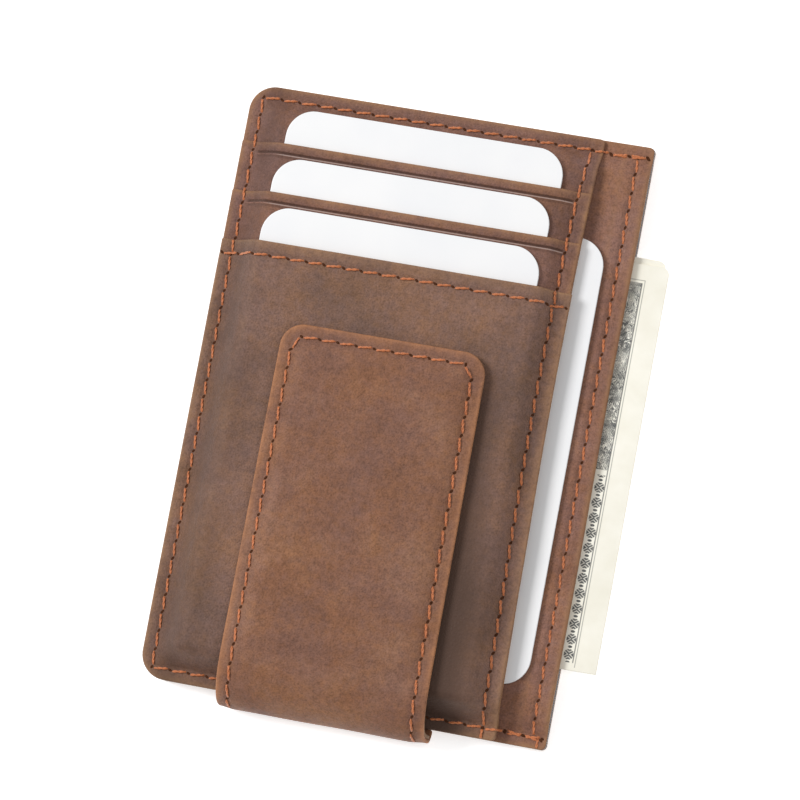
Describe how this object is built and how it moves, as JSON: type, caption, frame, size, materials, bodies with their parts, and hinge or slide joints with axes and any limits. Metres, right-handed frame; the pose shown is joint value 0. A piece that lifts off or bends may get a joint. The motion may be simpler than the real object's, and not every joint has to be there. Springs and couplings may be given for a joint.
{
  "type": "front pocket wallet with magnetic money clip",
  "caption": "Slim leather front pocket wallet with stepped card slots, a side card slot, an open cash pocket and a stitched magnetic flap that folds over the front as a money clip.",
  "frame": {"origin": "middle of the back panel's flat outer face, on which the wallet lies", "axes": "+X towards the open side of the pockets, +Y towards the card end, away from the clip's fold, +Z out of the front"},
  "size_m": [0.0856, 0.119, 0.0139],
  "materials": {
    "leather": "matte",
    "strap_leather": "matte",
    "lining": "matte",
    "shield": "satin",
    "board": "matte",
    "magnet": "satin",
    "thread": "satin",
    "card": "satin",
    "note": "matte"
  },
  "bodies": {
    "wallet_body": {"back_panel": "leather", "back_shield_lining": "shield", "cash_pocket_lining": "lining", "base_panel": "leather", "slot_backing_panel": "leather", "slot_strip_1": "leather", "slot_strip_2": "leather", "slot_lining_1": "lining", "slot_lining_2": "lining", "front_pocket_lining": "lining", "front_pocket_panel": "leather", "front_magnets": "magnet", "strap_fold": "strap_leather", "perimeter_stitching": "thread", "card_stack_stitching": "thread", "pocket_edge_stitching": "thread", "hem_stitching": "thread", "slot_floor_stitching": "thread"},
    "clip": {"clip_inner_leather": "strap_leather", "clip_outer_leather": "strap_leather", "clip_stiffener": "board", "clip_magnets": "magnet", "clip_stitching": "thread"},
    "first_card": {"card_1": "card"},
    "second_card": {"card_2": "card"},
    "third_card": {"card_3": "card"},
    "side_card_body": {"side_card": "card"},
    "top_note": {"note_1": "note"},
    "under_note": {"note_2": "note"}
  },
  "joints": [
    {"name": "clip_fold", "type": "hinge", "parent": "wallet_body", "child": "clip", "pos_m": [-0.0032, -0.0581, 0.0035], "axis": [1, 0, 0], "range_deg": [0, 135]},
    {"name": "card_1_slide", "type": "slide", "parent": "wallet_body", "child": "first_card", "axis": [0, 1, 0], "range_m": [0, 0.065]},
    {"name": "card_2_slide", "type": "slide", "parent": "wallet_body", "child": "second_card", "axis": [0, 1, 0], "range_m": [0, 0.065]},
    {"name": "card_3_slide", "type": "slide", "parent": "wallet_body", "child": "third_card", "axis": [0, 1, 0], "range_m": [0, 0.065]},
    {"name": "side_card_slide", "type": "slide", "parent": "wallet_body", "child": "side_card_body", "axis": [1, 0, 0], "range_m": [0, 0.04]},
    {"name": "top_note_slide", "type": "slide", "parent": "wallet_body", "child": "top_note", "axis": [1, 0, 0], "range_m": [0, 0.05]},
    {"name": "under_note_slide", "type": "slide", "parent": "wallet_body", "child": "under_note", "axis": [1, 0, 0], "range_m": [0, 0.05]}
  ]
}
